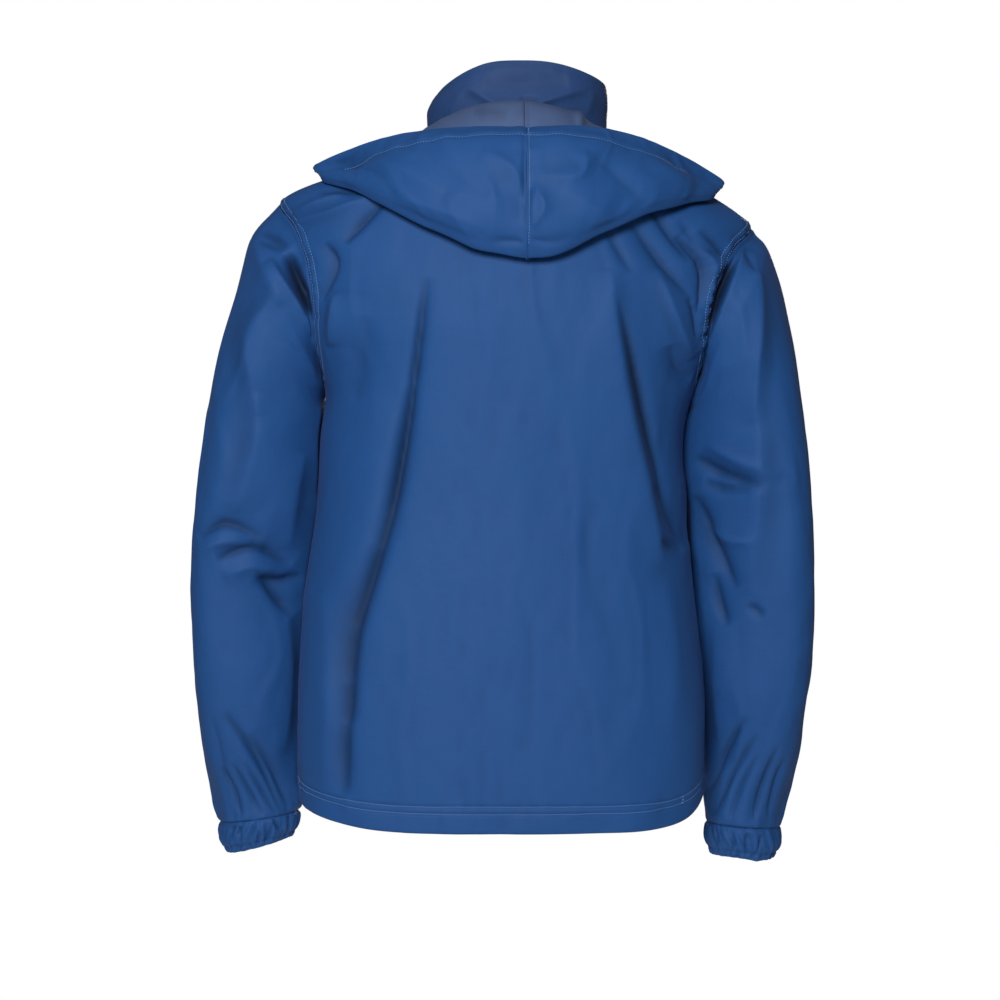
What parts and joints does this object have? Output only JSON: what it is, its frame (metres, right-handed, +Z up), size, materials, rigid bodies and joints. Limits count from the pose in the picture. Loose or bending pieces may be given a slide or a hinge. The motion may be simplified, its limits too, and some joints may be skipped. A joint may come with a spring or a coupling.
{
  "type": "hooded parka",
  "caption": "Lightweight hooded parka, zipped up and filled out as worn, with a stand collar, a thrown-back hood, full sleeves and gathered cuffs.",
  "frame": {"origin": "middle of the neck opening, where the wearer's neck and shoulders hold the jacket up", "axes": "+Z up, the front faces -Y, +X is the wearer's left"},
  "size_m": [0.6224, 0.2887, 0.7921],
  "materials": {
    "shell": "smooth woven nylon with a soft sheen",
    "zip_tape": "woven tape with a plastic coil",
    "metal": "satin"
  },
  "bodies": {
    "jacket": {"back": "shell", "front_left": "shell", "front_right": "shell", "sleeve_left": "shell", "sleeve_right": "shell", "cuff_left": "shell", "cuff_right": "shell", "collar": "shell", "hood_left": "shell", "hood_right": "shell", "zip_left": "zip_tape", "zip_right": "zip_tape", "zip_slider": "metal"},
    "pull": {"zip_pull": "metal"}
  },
  "joints": [
    {"name": "pull_swing", "type": "hinge", "parent": "jacket", "child": "pull", "pos_m": [0.001, -0.07961, -0.00454], "axis": [-1, 0, 0], "range_deg": [0, 120]}
  ]
}
